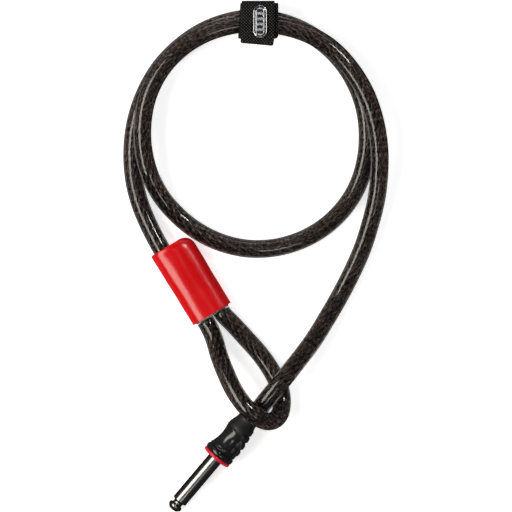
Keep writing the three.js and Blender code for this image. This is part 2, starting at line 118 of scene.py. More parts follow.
class Axis:
    """A place and a direction, with the side and the up that go with it."""

    def __init__(self, origin, direction):
        self.origin = np.asarray(origin, float)
        self.ahead = unit(direction)
        self.side = unit([-self.ahead[1], self.ahead[0], 0])
        self.up = np.cross(self.ahead, self.side)

    def at(self, ahead, side=0.0, up=0.0):
        ahead, side, up = (np.asarray(v, float)[..., None] for v in (ahead, side, up))
        return self.origin + ahead * self.ahead + side * self.side + up * self.up


pin_tip = mounts["pin_tip_face"]
plug_direction = -np.array(pin_tip["axis"])
plug = Axis(np.array(pin_tip["pos_m"]) + PIN_LENGTH * unit(plug_direction), plug_direction)
lane_in, lane_out, lane_back = (np.array(place) for place in (LANE_IN, LANE_OUT, LANE_BACK))
crimp_direction = unit(lane_out - lane_in)
crimp = Axis((lane_out + lane_back) / 2 - FERRULE_END * crimp_direction, crimp_direction)


def catmull_rom(places, per_span=24):
    """The centripetal curve through a list of places."""
    p = np.asarray(places, float)
    p = np.vstack([2 * p[0] - p[1], p, 2 * p[-1] - p[-2]])
    t = np.linspace(0, 1, per_span, endpoint=False)[:, None]
    spans = []
    for a, b, c, d in zip(p, p[1:], p[2:], p[3:]):
        da, db, dc = (math.sqrt(np.linalg.norm(y - x)) for x, y in ((a, b), (b, c), (c, d)))
        start = ((b - a) / da - (c - a) / (da + db) + (c - b) / db) * db
        end = ((c - b) / db - (d - b) / (db + dc) + (d - c) / dc) * db
        spans.append(
            (2 * t**3 - 3 * t**2 + 1) * b + (t**3 - 2 * t**2 + t) * start
            + (3 * t**2 - 2 * t**3) * c + (t**3 - t**2) * end
        )
    return np.vstack([*spans, p[-2]])


def arc_lengths(points):
    return np.concatenate([[0], np.cumsum(np.linalg.norm(np.diff(points, axis=0), axis=1))])


def resample(points, step):
    lengths = arc_lengths(points)
    count = max(2, round(lengths[-1] / step) + 1)
    at = np.linspace(0, lengths[-1], count)
    return np.stack([np.interp(at, lengths, points[:, k]) for k in range(3)], axis=1)


def led(start, heading, lead, places, end, arriving):
    """A route that leaves and arrives straight."""
    return [start, start + lead * heading, *places, end - lead * arriving, end]


def moving_frames(points):
    """Two directions across a path at each point, carried along it without twist."""
    tangents = np.gradient(points, axis=0)
    tangents /= np.linalg.norm(tangents, axis=1)[:, None]
    first = np.cross(tangents[0], [0, 0, 1])
    across = [first / np.linalg.norm(first)]
    for tangent in tangents[1:]:
        carried = across[-1] - tangent * np.dot(across[-1], tangent)
        across.append(carried / np.linalg.norm(carried))
    across = np.array(across)
    return across, np.cross(tangents, across)


# ---------- meshes ----------
def new_object(name, points, faces, uv=None):
    mesh = bpy.data.meshes.new(name)
    mesh.from_pydata(np.asarray(points).tolist(), [], faces)
    if uv is not None:
        layer = mesh.uv_layers.new(name="UVMap")
        layer.data.foreach_set("uv", np.asarray(uv, np.float32).ravel())
    mesh.polygons.foreach_set("use_smooth", [True] * len(mesh.polygons))
    mesh.update()
    piece = bpy.data.objects.new(name, mesh)
    bpy.context.scene.collection.objects.link(piece)
    return piece


def grid_faces(rows, cols, wrap_rows=False, offset=0):
    """Quads over rows of closed rings, with the row and column each corner was reached by."""
    faces, corners = [], []
    for r in range(rows if wrap_rows else rows - 1):
        for c in range(cols):
            ring = [(r, c), (r, c + 1), (r + 1, c + 1), (r + 1, c)]
            faces.append([offset + (i % rows) * cols + (j % cols) for i, j in ring])
            corners.extend(ring)
    return faces, corners


def grid_object(name, points, wrap_rows=False, uv_size=None):
    """A closed skin over rows of rings, capped unless the rows join up; uv_size is one cell's size."""
    rows, cols = points.shape[:2]
    faces, corners = grid_faces(rows, cols, wrap_rows)
    flat = points.reshape(-1, 3)
    if not wrap_rows:
        flat = np.vstack([flat, points[0].mean(axis=0), points[-1].mean(axis=0)])
        first, last = rows * cols, rows * cols + 1
        for c in range(cols):
            after = (c + 1) % cols
            faces.append([first, after, c])
            faces.append([last, (rows - 1) * cols + c, (rows - 1) * cols + after])
            corners.extend([(0, c), (0, c + 1), (0, c), (rows, c), (rows, c), (rows, c + 1)])
    uv = None
    if uv_size is not None:
        uv = np.array(corners, float)[:, ::-1] * np.array(uv_size)[::-1]
    return new_object(name, flat, faces, uv)


def rods_object(name, rods):
    """One object of many thin rods, each a list of rings of points with flat ends."""
    vertices, faces = [], []
    for rod in rods:
        base, sides = len(vertices), len(rod[0])
        last = base + (len(rod) - 1) * sides
        for ring in rod:
            vertices.extend(ring)
        faces += grid_faces(len(rod), sides, offset=base)[0]
        faces.append([base + c for c in range(sides)][::-1])
        faces.append([last + c for c in range(sides)])
    return outward(new_object(name, vertices, faces))


def outward(piece):
    """Turns a closed piece's faces out."""
    mesh = piece.data
    mesh.calc_loop_triangles()
    corners = np.array([mesh.vertices[i].co for t in mesh.loop_triangles for i in t.vertices])
    corners = corners.reshape(-1, 3, 3)
    volume = np.einsum("ij,ij->i", corners[:, 0], np.cross(corners[:, 1], corners[:, 2])).sum()
    if volume < 0:
        mesh.flip_normals()
    return piece


def fillet(profile, radius, steps=5):
    """Rounds the inner corners of an open outline of (a, b) pairs."""
    corners = np.asarray(profile, float)
    rounded = [corners[0]]
    for before, corner, after in zip(corners, corners[1:], corners[2:]):
        back, on = before - corner, after - corner
        reach = min(radius, 0.45 * np.linalg.norm(back), 0.45 * np.linalg.norm(on))
        start, end = corner + unit(back) * reach, corner + unit(on) * reach
        for t in np.linspace(0, 1, steps):
            rounded.append((1 - t) ** 2 * start + 2 * t * (1 - t) * corner + t**2 * end)
    return np.array([*rounded, corners[-1]])


def turned(name, axis, profile, sides=72, ring=False, radius_of=None):
    """A turned piece: (radius, distance) pairs along an axis; a ring's profile closes on itself."""
    angles = np.linspace(0, 2 * math.pi, sides, endpoint=False)
    profile = np.asarray(profile, float)
    radius = np.repeat(profile[:, :1], sides, axis=1)
    ahead = np.repeat(profile[:, 1:], sides, axis=1)
    if radius_of is not None:
        radius = radius_of(radius, ahead, angles[None, :])
    points = axis.at(ahead, radius * np.cos(angles), radius * np.sin(angles))
    return outward(grid_object(name, points, wrap_rows=ring, uv_size=(MM, MM)))


def smoothstep(low, high, value):
    t = np.clip((np.asarray(value, float) - low) / (high - low), 0, 1)
    return t * t * (3 - 2 * t)


# ---------- materials ----------
class Finish:
    """A Principled material with procedural detail."""

    def __init__(self, name, color, roughness, metallic=0.0):
        self.material = bpy.data.materials.new(name)
        self.material.use_nodes = True
        self.nodes = self.material.node_tree.nodes
        self.links = self.material.node_tree.links
        self.shader = self.nodes["Principled BSDF"]
        self.set("Base Color", (*color, 1))
        self.set("Roughness", roughness)
        self.set("Metallic", metallic)
        self.height = None

    def set(self, socket, value):
        self.shader.inputs[socket].default_value = value

    def link(self, source, target):
        self.links.new(source, target)

    def coordinates(self, stretch=(1, 1, 1), output="Object"):
        source = self.nodes.new("ShaderNodeTexCoord")
        mapping = self.nodes.new("ShaderNodeMapping")
        mapping.inputs["Scale"].default_value = stretch
        self.link(source.outputs[output], mapping.inputs["Vector"])
        return mapping.outputs["Vector"]

    def noise(self, scale, detail=4, stretch=(1, 1, 1), output="Object"):
        noise = self.nodes.new("ShaderNodeTexNoise")
        noise.inputs["Scale"].default_value = scale
        noise.inputs["Detail"].default_value = detail
        self.link(self.coordinates(stretch, output), noise.inputs["Vector"])
        return noise.outputs["Fac"]

    def ramp(self, factor, stops):
        ramp = self.nodes.new("ShaderNodeValToRGB")
        elements = ramp.color_ramp.elements
        while len(elements) < len(stops):
            elements.new(0.5)
        for element, (position, value) in zip(elements, stops):
            element.position = position
            element.color = (*value, 1) if isinstance(value, tuple) else (value, value, value, 1)
        self.link(factor, ramp.inputs["Fac"])
        return ramp.outputs["Color"]

    def math(self, operation, first, second):
        node = self.nodes.new("ShaderNodeMath")
        node.operation = operation
        for socket, value in zip(node.inputs, (first, second)):
            if isinstance(value, (int, float)):
                socket.default_value = value
            else:
                self.link(value, socket)
        return node.outputs["Value"]

    def color_from(self, factor, stops):
        self.link(self.ramp(factor, stops), self.shader.inputs["Base Color"])

    def roughness_from(self, factor, low, high):
        self.link(self.ramp(factor, [(0.3, low), (0.7, high)]), self.shader.inputs["Roughness"])

    def bump(self, height, strength, distance):
        bump = self.nodes.new("ShaderNodeBump")
        bump.inputs["Strength"].default_value = strength
        bump.inputs["Distance"].default_value = distance
        self.link(height, bump.inputs["Height"])
        if self.height is not None:
            self.link(self.height, bump.inputs["Normal"])
        self.height = bump.outputs["Normal"]
        self.link(self.height, self.shader.inputs["Normal"])


def jacket_vinyl():
    finish = Finish("jacket_vinyl", (0.15, 0.148, 0.146), 0.07)
    finish.set("Transmission Weight", 1.0)
    finish.set("IOR", 1.5)
    finish.bump(finish.noise(90, 2), 0.03, 0.0002)
    return finish.material


def wire_steel():
    finish = Finish("wire_steel", (0.2, 0.15, 0.13), 0.34, 1.0)
    # Painted glints: the wires' colour breaks into bright dashes stretched along them, standing in for the
    # glints of light on the strands.
    painted_glints = finish.noise(1, 2, (1500, 420, 1), "UV")
    finish.color_from(painted_glints, [(0.44, (0.115, 0.095, 0.087)), (0.66, (0.93, 0.69, 0.58))])
    finish.roughness_from(finish.noise(1400, 2), 0.26, 0.46)
    return finish.material


def pin_steel():
    """Dark nickel."""
    finish = Finish("pin_steel", (0.27, 0.255, 0.245), 0.24, 1.0)
    finish.color_from(finish.noise(60, 2), [(0.3, (0.25, 0.237, 0.228)), (0.7, (0.29, 0.275, 0.263))])
    finish.set("Specular Tint", (0.1, 0.1, 0.1, 1))
    finish.roughness_from(finish.noise(60, 3, (1, 1, 24)), 0.20, 0.26)
    finish.bump(finish.noise(900, 2), 0.02, 0.0001)
    return finish.material


def grip_plastic():
    finish = Finish("grip_plastic", (0.014, 0.014, 0.015), 0.16)
    finish.color_from(finish.noise(120, 3), [(0.3, (0.011, 0.011, 0.012)), (0.7, (0.018, 0.018, 0.020))])
    finish.roughness_from(finish.noise(300, 4), 0.12, 0.20)
    finish.bump(finish.noise(150, 2), 0.015, 0.0002)
    return finish.material


def grip_rubber():
    finish = Finish("grip_rubber", (0.02, 0.02, 0.021), 0.55)
    finish.color_from(finish.noise(160, 4), [(0.3, (0.010, 0.010, 0.0105)), (0.7, (0.016, 0.016, 0.0165))])
    finish.roughness_from(finish.noise(500, 3), 0.46, 0.62)
    finish.bump(finish.noise(2600, 2), 0.15, 0.0001)
    return finish.material


def ring_plastic():
    finish = Finish("ring_plastic", (0.70, 0.012, 0.03), 0.32)
    finish.color_from(finish.noise(200, 3), [(0.3, (0.64, 0.008, 0.024)), (0.7, (0.76, 0.016, 0.036))])
    finish.roughness_from(finish.noise(600, 3), 0.26, 0.38)
    finish.bump(finish.noise(900, 2), 0.06, 0.0001)
    return finish.material


def cover_vinyl():
    finish = Finish("cover_vinyl", (0.70, 0.003, 0.006), 0.2)
    finish.color_from(finish.noise(45, 3), [(0.3, (0.66, 0.002, 0.004)), (0.7, (0.74, 0.004, 0.008))])
    finish.roughness_from(finish.noise(160, 4), 0.16, 0.24)
    finish.set("Sheen Weight", 0.5)
    finish.set("Sheen Roughness", 0.3)
    finish.set("Sheen Tint", (1, 0.45, 0.55, 1))
    finish.bump(finish.noise(60, 2), 0.06, 0.0004)
    return finish.material


def ferrule_alloy():
    finish = Finish("ferrule_alloy", (0.36, 0.34, 0.32), 0.38, 1.0)
    finish.color_from(finish.noise(700, 5), [(0.35, (0.20, 0.19, 0.17)), (0.65, (0.85, 0.81, 0.72))])
    finish.roughness_from(finish.noise(900, 3), 0.28, 0.5)
    finish.bump(finish.noise(1500, 3), 0.3, 0.0001)
    return finish.material


def webbing():
    """A fine checked weave: slanted ridges, broken up by others that slant the other way. Its colour
    follows the same height as its bump: painted shade in the hollows and painted highlights where the
    ridges cross.
    """
    finish = Finish("webbing", (0.02, 0.02, 0.02), 0.8)
    finish.set("Specular IOR Level", 0.15)
    turn = math.pi * math.sqrt(2) / (TWILL_PITCH * MM)
    split = finish.nodes.new("ShaderNodeSeparateXYZ")
    finish.link(finish.coordinates((turn, turn, 1), "UV"), split.inputs["Vector"])
    across, along = split.outputs["X"], split.outputs["Y"]
    ridges = finish.math("SINE", finish.math("ADD", across, along), 0)
    breaks = finish.math("SINE", finish.math("SUBTRACT", across, along), 0)
    weave = finish.math("ADD", finish.math("MULTIPLY", ridges, 0.24), finish.math("MULTIPLY", breaks, 0.20))
    fuzz = finish.math("MULTIPLY", finish.noise(900, 4), 0.2)
    weave_relief_and_shade = finish.math("ADD", finish.math("ADD", weave, 0.4), fuzz)
    # Painted shade and light: near black where the weave sinks, light where its ridges rise and cross.
    finish.color_from(weave_relief_and_shade, [(0.50, (0.0003, 0.0003, 0.0003)), (0.70, (0.003, 0.003, 0.003)),
                              (0.92, (0.150, 0.147, 0.142))])
    finish.bump(weave_relief_and_shade, 0.6, 0.0002)
    return finish.material


def hook_tape():
    finish = Finish("hook_tape", (0.02, 0.02, 0.021), 0.5)
    finish.color_from(finish.noise(800, 3), [(0.3, (0.012, 0.012, 0.013)), (0.7, (0.035, 0.035, 0.037))])
    finish.bump(finish.noise(1200, 3), 0.3, 0.0001)
    return finish.material


def badge_metal():
    finish = Finish("badge_metal", (0.62, 0.63, 0.65), 0.16, 1.0)
    finish.color_from(finish.noise(500, 4), [(0.3, (0.54, 0.55, 0.57)), (0.7, (0.72, 0.73, 0.75))])
    finish.roughness_from(finish.noise(90, 3, (12, 1, 1)), 0.12, 0.24)
    finish.bump(finish.noise(1800, 2), 0.05, 0.00005)
    return finish.material


def badge_enamel():
    finish = Finish("badge_enamel", (0.008, 0.008, 0.009), 0.2)
    finish.color_from(finish.noise(900, 3), [(0.3, (0.006, 0.006, 0.007)), (0.7, (0.012, 0.012, 0.013))])
    finish.bump(finish.noise(1500, 2), 0.1, 0.00005)
    return finish.material


def dress(piece, material, body=None):
    """Gives a piece its material and, when a body is named, hangs it from that body; a piece with no body
    is left as it is.
    """
    piece.data.materials.clear()
    piece.data.materials.append(material)
    if body:
        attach(piece, body)


# ---------- camera ----------
VIEW_WIDTH = 341.33 * MM
LENS = 1200
SENSOR = 36
FOCUS_HEIGHT = 10 * MM


def add_camera():
    data = bpy.data.cameras.new("camera")
    data.lens = LENS
    data.sensor_width = SENSOR
    camera = bpy.data.objects.new("camera", data)
    camera.location = (0, 0, FOCUS_HEIGHT + VIEW_WIDTH * LENS / SENSOR)
    bpy.context.scene.collection.objects.link(camera)
    bpy.context.scene.camera = camera


add_camera()

# ---------- cable ----------
TUBE_STEP = 2 * MM
TUBE_SIDES = 36
WIRE_STEP = 1.9 * MM
JACKET_NODES = [node for node in frame["nodes"] if node.startswith("cable_jacket_")]

free_line = catmull_rom(led(
    plug.at(BARREL_END), plug.ahead, GRIP_LEAD, FREE_ROUTE, lane_in, crimp.ahead))
eye_line = catmull_rom(led(
    lane_out, crimp.ahead, EYE_LEAD, EYE_ROUTE, lane_back, -crimp.ahead))


def tube(name, line, radius, sides):
    points = resample(line, TUBE_STEP)
    across, over = moving_frames(points)
    angles = np.linspace(0, 2 * math.pi, sides, endpoint=False)
    cos, sin = np.cos(angles)[None, :, None], np.sin(angles)[None, :, None]
    skin = points[:, None] + radius * (cos * across[:, None] + sin * over[:, None])
    return outward(grid_object(name, skin, uv_size=(TUBE_STEP, 2 * math.pi * radius / sides))), points


def add_jackets(material):
    """The jacket's two lengths, from the plug to the ferrule and round the eye."""
    free_nodes = [node for node in JACKET_NODES if not node.endswith("eye")]
    for name, line, exit_point, nodes in (
        ("cable_jacket", free_line, plug.at(GRIP_END), free_nodes),
        ("eye_jacket", eye_line, lane_out, ["cable_jacket_eye"]),
    ):
        piece, path = tube(name, line, CABLE_R, TUBE_SIDES)
        dress(piece, material, "cable")
        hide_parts(*nodes)


def strand_section():
    """One strand's outline: its outer wires side by side, as (radius, angle) pairs."""
    wire_r = STRAND_R * math.sin(math.pi / WIRES) / (1 + math.sin(math.pi / WIRES))
    wire_centre = STRAND_R - wire_r
    section = []
    for w in range(WIRES):
        for reach in (-1.25, -0.55, 0.0, 0.55):
            x = wire_centre + wire_r * math.cos(reach * math.pi / 2)
            y = wire_r * math.sin(reach * math.pi / 2)
            section.append((math.hypot(x, y), math.atan2(y, x) + 2 * math.pi * w / WIRES))
    return np.array(section).T


def add_wires(material):
    """Six strands, each of wires laid against the strand's own lay."""
    through = catmull_rom([
        plug.at(BARREL_END - ROPE_REACH), *free_line[::12], *eye_line[::12],
        crimp.at(ROPE_REACH, LANE)], 8)
    points = resample(through, WIRE_STEP)
    across, over = moving_frames(points)
    run = arc_lengths(points)
    radius, angle = strand_section()
    for s in range(STRANDS):
        turn = 2 * math.pi * (run / STRAND_LAY + s / STRANDS)[:, None]
        out = np.cos(turn) * across + np.sin(turn) * over
        round_it = np.cos(turn) * over - np.sin(turn) * across
        centre = points + (ROPE_R - STRAND_R) * out
        spin = angle[None] - 2 * math.pi * run[:, None] / WIRE_LAY
        skin = centre[:, None] + radius[None, :, None] * (
            np.cos(spin)[..., None] * out[:, None] + np.sin(spin)[..., None] * round_it[:, None])
        piece = outward(grid_object(
            f"wire_strand_{s + 1}", skin, uv_size=(WIRE_STEP, 2 * math.pi * STRAND_R / len(radius))))
        dress(piece, material, "cable")
        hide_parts("wire_rope")


add_jackets(jacket_vinyl())
add_wires(wire_steel())

# ---------- plug ----------
GRIP_START = 3.9
GRIP_TOP = 32
GRIP_STEP = 0.2
GRIP_SIDES = 144
SADDLE_END = 22.5
SADDLE_BORE = 6.8
SLEEVE_R = 8.0  # a sleeve profile's outside, which its own function then shapes
OUTSIDE_R = 7 * MM  # and what is wider than this is outside
GRIP_BORE = 6.3
GRIP_OUTLINE = [
    (3.0, 9.9), (4.2, 9.6), (6, 9.05), (9, 8.3), (12, 7.95), (15, 7.9), (18, 8.3), (20.2, 8.75),
    (21.6, 8.85), (23.5, 8.7), (26.5, 7.9), (29, 7.25), (31.2, 7.1), (32, 7.1),
]
RIBS = [(10.5, 9.2), (10.25, 14.7), (9.5, 20.2), (8.5, 25.2)]
RIB_HALF = 1.9
RIB_VALLEY = 1.0
BACK_SIDE = (-3.6, -6.2)
# Edge of the saddle's window: distance along the grip and degrees round it.
WINDOW_EDGE = [
    (2.0, 150), (8.5, 154), (13.7, 149), (17.3, 131), (19.2, 112), (20.2, 88), (20.6, 60),
    (20.7, 30), (20.7, 0),
]
MEAN_GRIP_R = 8.7


def pin_profile():
    bare = [
        (0, -47.7), (2.7, -47.7), (3.1, -47.4), (4.5, -46.0), (4.8, -45.4), (4.8, -44.3), (4.6, -43.8),
        (3.7, -43.4), (3.3, -42.8), (3.3, -41.5), (3.7, -40.9), (4.9, -40.6), (5.1, -40.2),
        (5.1, 0.3), (6.6, 0.3), (6.6, 2.9), (5.4, 2.9), (5.4, 22), (4.3, 22), (4.3, 7), (0, 7),
    ]
    return fillet(bare, 0.3, 4) * MM


def ring_profile():
    bare = [
        (5.4, -2.45), (7.5, -2.6), (9.5, -2.6), (10.05, -2.35), (10.2, -1.9), (10.2, -0.9),
        (10.0, -0.35), (9.5, -0.25), (5.4, -0.25),
    ]
    return np.array(bare) * MM


def collar_profile():
    bare = [
        (6.9, 0.05), (9.9, 0.05), (10.3, 0.3), (10.42, 0.9), (10.42, 1.9), (10.3, 2.6), (10.05, 3.0),
        (9.75, 3.25), (9.4, 3.35), (9.3, 3.6), (6.9, 3.6),
    ]
    return np.array(bare) * MM


def edge_distance(ahead, angle):
    """How far inside the saddle's window a place on the grip is, in mm; negative outside."""
    half = [(s, math.radians(a) * MEAN_GRIP_R) for s, a in WINDOW_EDGE]
    edge = catmull_rom([*half, *[(s, -a) for s, a in half[-2::-1]]], 6)
    turn = (angle + math.pi) % (2 * math.pi) - math.pi
    place = np.stack([ahead, turn * MEAN_GRIP_R + 0 * ahead], axis=-1)[..., None, :]
    start, span = edge[:-1], np.diff(edge, axis=0)
    along = np.clip(((place - start) * span).sum(-1) / (span**2).sum(-1), 0, 1)
    distance = np.linalg.norm(place - start - along[..., None] * span, axis=-1).min(-1)
    reach = np.interp(ahead, [s for s, _ in half], [a for _, a in half])
    inside = (np.abs(turn) * MEAN_GRIP_R < reach) & (ahead < half[-1][0])
    return np.where(inside, distance, -distance)


def smooth_grip(ahead):
    outline = catmull_rom(GRIP_OUTLINE, 8)
    return np.interp(ahead, outline[:, 0], outline[:, 1])


def ribbed_grip(ahead):
    crest = np.interp(ahead, [at for _, at in RIBS], [r for r, _ in RIBS])
    phase = np.min([np.abs(ahead - at) for _, at in RIBS], axis=0)
    in_ribs = smoothstep(6.6, 7.4, ahead) * (1 - smoothstep(26.8, 29.0, ahead))
    valley = RIB_VALLEY * smoothstep(RIB_HALF - 0.7, RIB_HALF + 0.8, phase)
    plain = np.minimum(9.8, smooth_grip(ahead) + 1.0 * (1 - smoothstep(24, 30, ahead)))
    return np.where(in_ribs > 0, in_ribs * (crest - valley) + (1 - in_ribs) * plain, plain)


def bump_at(value, middle, half):
    return np.clip(1 - ((value - middle) / half) ** 2, 0, None) ** 2


def rounded_end(ahead, end, reach):
    t = np.clip(1 - np.abs(end - ahead) / reach, 0, 1)
    return reach * (1 - np.sqrt(1 - t**2))


def saddle_radius(radius, ahead, angle):
    s = ahead / MM
    depth = edge_distance(s, angle)
    r = smooth_grip(s) - 0.6 * (1 - smoothstep(-0.25, 0.35, depth))
    r = r + 0.30 * bump_at(s, 4.65, 0.75) - 0.16 * bump_at(s, 5.7, 0.6)
    r = r - rounded_end(s, GRIP_START, 0.35)
    return np.where(radius > OUTSIDE_R, r * MM, radius)


def rubber_radius(radius, ahead, angle):
    s = ahead / MM
    depth = edge_distance(s, angle)
    side = smooth_grip(s) * np.cos(angle)
    back = smoothstep(-BACK_SIDE[0], -BACK_SIDE[1], -side)
    r = (1 - back) * smooth_grip(s) + back * ribbed_grip(s)
    r = r + 0.22 * bump_at(depth, -0.45, 0.5) - 0.20 * bump_at(depth, -1.25, 0.45)
    r = r - 1.1 * smoothstep(-0.2, 0.5, depth)
    r = r - rounded_end(s, GRIP_START, 0.4) - rounded_end(s, GRIP_TOP, 0.8)
    return np.where(radius > OUTSIDE_R, r * MM, radius)


def sleeve_profile(end, bore):
    outside = np.arange(GRIP_START, end + GRIP_STEP / 2, GRIP_STEP)
    inside = np.linspace(end, GRIP_START, 5)
    return np.array([*[(SLEEVE_R, s) for s in outside], *[(bore, s) for s in inside]]) * MM


def add_plug():
    """The pin, the ring and the grip's three mouldings."""
    pin = turned("locking_pin_turned", plug, pin_profile(), 96)
    dress(pin, pin_steel(), "cable")
    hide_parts("locking_pin")
    ring = turned("plug_ring_moulded", plug, ring_profile(), 96, ring=True)
    dress(ring, ring_plastic(), "cable")
    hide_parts("plug_ring")
    plastic = grip_plastic()
    collar = turned("grip_collar_moulded", plug, collar_profile(), 96, ring=True)
    dress(collar, plastic, "cable")
    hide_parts("grip_collar")
    saddle = turned(
        "grip_saddle", plug, sleeve_profile(SADDLE_END, SADDLE_BORE), GRIP_SIDES, ring=True,
        radius_of=saddle_radius)
    dress(saddle, plastic, "cable")
    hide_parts("grip_body")
    rubber = turned(
        "grip_overmould", plug, sleeve_profile(GRIP_TOP, GRIP_BORE), GRIP_SIDES, ring=True,
        radius_of=rubber_radius)
    dress(rubber, grip_rubber(), "cable")
    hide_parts("grip_rubber")


# ---------- ferrule and its cover ----------
COVER_LENGTH = 54.0
COVER_HALF_W = 14.9
COVER_HALF_T = 8.3
COVER_SHOULDER = 7.5
FERRULE_HALF_W = 12.6
FERRULE_HALF_T = 6.7
COVER_SQUARENESS = 2.1
FERRULE_SQUARENESS = 2.8
COVER_GAP = 0.15
OVAL_SIDES = 96


def oval(half_width, half_thickness, centre=0.0, squareness=FERRULE_SQUARENESS):
    angles = np.linspace(0, 2 * math.pi, OVAL_SIDES, endpoint=False)
    c, s = np.cos(angles), np.sin(angles)
    side = centre + half_width * np.sign(c) * np.abs(c) ** (2 / squareness)
    up = half_thickness * np.sign(s) * np.abs(s) ** (2 / squareness)
    return side, up


def quarter(distance, length):
    return 1 - math.sqrt(max(0.0, 1 - max(0.0, 1 - distance / length) ** 2))


def cover_section(distance):
    """The shoulder is rounded on the side away from the cable, and the dipped skin waves a little."""
    far_side = COVER_HALF_W - COVER_SHOULDER * quarter(distance, 8)
    thickness = COVER_HALF_T - 1.4 * quarter(distance, 4)
    near_side = COVER_HALF_W - 0.9 * quarter(distance, 1.6)
    wave = 1 + 0.004 * math.sin(distance / 7.0) + 0.003 * math.sin(distance / 3.1 + 1)
    half_width = (far_side + near_side) / 2 * (wave - 0.0004 * distance)
    side, up = oval(half_width, thickness * wave, (far_side - near_side) / 2, COVER_SQUARENESS)
    return side, up + 0.05 * np.sin(side / 2.7 + distance / 9)


def crimp_loft(name, sections):
    """Rows of (side, up) outlines at distances along the ferrule, in mm."""
    rows = [crimp.at(distance * MM, side * MM, up * MM) for distance, (side, up) in sections]
    return outward(grid_object(name, np.array(rows), uv_size=(MM, MM)))


def add_ferrule():
    """The dipped cover, with its lip and its bore, and the pressed ferrule inside it."""
    shoulder = 8 * (1 - np.cos(np.linspace(0, math.pi / 2, 16)))
    sections = [(d, cover_section(d)) for d in [*shoulder, *np.linspace(9, COVER_LENGTH - 0.4, 60)]]
    side, up = cover_section(COVER_LENGTH)
    for lip, k in ((0.15, 0.997), (0.0, 0.975), (0.1, 0.95)):
        sections.append((COVER_LENGTH - lip, (side * k, up * k)))
    for d in (COVER_LENGTH - 0.6, 30.0, 6.3):
        sections.append((d, oval(FERRULE_HALF_W + COVER_GAP, FERRULE_HALF_T + COVER_GAP)))
    cover = crimp_loft("ferrule_cover_dipped", sections)
    dress(cover, cover_vinyl(), "cable")
    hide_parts("ferrule_cover")

    rows = [(6.4, 0.93), (6.8, 0.98), (7.4, 1.0), (30.0, 1.0), (54.2, 1.0), (54.7, 0.985), (55.0, 0.94),
            (54.9, 0.86), (54.3, 0.80)]
    ferrule = crimp_loft(
        "loop_ferrule_pressed", [(d, oval(FERRULE_HALF_W * k, FERRULE_HALF_T * k)) for d, k in rows])
    dress(ferrule, ferrule_alloy(), "cable")
    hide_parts("loop_ferrule")


# ---------- strap ----------
STRAP_T = 1.1
BAND_X = (-12.0, 14.9)
TAIL_X = (-9.6, 12.4)
BAND_Y = (145.0, 168.5)
BAND_TOP = 27.8
TAIL_TOP = 30.4
TAIL_SIDE_Y = 169.9
TAIL_END_Y = 140.8
WEAVE_STEP = 0.32
TWILL_PITCH = 1.45
PICK_PITCH = 2.3 * TWILL_PITCH
TWILL_RELIEF = 0.06
SELVAGE = 0.55
STITCHES = 7
STITCH_ROWS = (11.5, 20.0)
STITCH_PITCH = 2.9
STITCH_LENGTH = 2.1
PAD_Y = (147.5, 165.5)
HOOK_PITCH = 1.25
HOOK_R = 0.11
HOOK_BEND = [(0.0, 28.85), (0.0, 28.45), (0.06, 28.15), (0.25, 27.98), (0.45, 28.06), (0.5, 28.25)]


def rounded_path(corners, radii, closed):
    """Corners joined with straight runs and arcs, as (y, z) places."""
    corners = [np.array(c, float) for c in corners]
    count = len(corners)
    path = [] if closed else [corners[0]]
    for i in range(0 if closed else 1, count if closed else count - 1):
        before, corner, after = corners[i - 1], corners[i], corners[(i + 1) % count]
        start = corner + unit(before - corner) * radii[i]
        end = corner + unit(after - corner) * radii[i]
        for t in np.linspace(0, 1, 12):
            path.append((1 - t) ** 2 * start + 2 * t * (1 - t) * corner + t**2 * end)
    path.append(path[0] if closed else corners[-1])
    return np.array(path)


def strip(name, path, edges, closed, skew=0.0):
    """A woven strip along a (y, z) path; edges gives its x range, skew how far its end is askew."""
    lengths = arc_lengths(path)
    count = round(lengths[-1] / WEAVE_STEP)
    at = np.linspace(0, lengths[-1], count, endpoint=not closed)
    y, z = (np.interp(at, lengths, path[:, k]) for k in range(2))
    if closed:
        ahead = np.stack([np.roll(y, -1) - np.roll(y, 1), np.roll(z, -1) - np.roll(z, 1)], axis=1)
    else:
        ahead = np.gradient(np.stack([y, z], axis=1), axis=0)
    ahead /= np.linalg.norm(ahead, axis=1)[:, None]
    normal = np.stack([-ahead[:, 1], ahead[:, 0]], axis=1)
    low, high = edges(y, lengths[-1] - at)
    columns = round((high - low).mean() / WEAVE_STEP)
    t = np.linspace(0, 1, columns)
    askew = skew * (t[None] - 0.5) * smoothstep(lengths[-1] - 12, lengths[-1], at)[:, None]
    x = low[:, None] + (high - low)[:, None] * t[None]
    from_edge = np.minimum(x - low[:, None], high[:, None] - x) / SELVAGE
    half = STRAP_T / 2 * np.sqrt(1 - (1 - np.clip(from_edge, 0.04, 1)) ** 2)
    column, row = WEAVE_STEP * np.arange(columns)[None], WEAVE_STEP * np.arange(count)[:, None]
    slant = WEAVE_STEP * (2 * columns - 1) - column + row
    twill = np.sin(2 * math.pi * slant / (TWILL_PITCH * math.sqrt(2)))
    picks = np.cos(2 * math.pi * (column + row) / PICK_PITCH)
    relief = TWILL_RELIEF * (twill + 0.35 * picks) * np.clip(from_edge, 0, 1)
    sides = []
    for sign in (1, -1):
        lift = sign * (half + relief)
        over = y[:, None] + askew + lift * normal[:, :1]
        place = np.stack([x, over, z[:, None] + lift * normal[:, 1:]], -1)
        sides.append(place if sign > 0 else place[:, ::-1])
    skin = np.concatenate(sides, axis=1) * MM
    return outward(grid_object(
        name, skin, wrap_rows=closed, uv_size=(WEAVE_STEP * MM, WEAVE_STEP * MM)))


def band_edges(y, _):
    """The band lies a little askew: its left edge leans in towards the far side of the coil."""
    near = 1 - smoothstep(BAND_Y[0], BAND_Y[0] + 2, y)
    return BAND_X[0] + 1.6 * smoothstep(BAND_Y[0] - 4, BAND_Y[1] + 4, y), BAND_X[1] - 1.2 * near


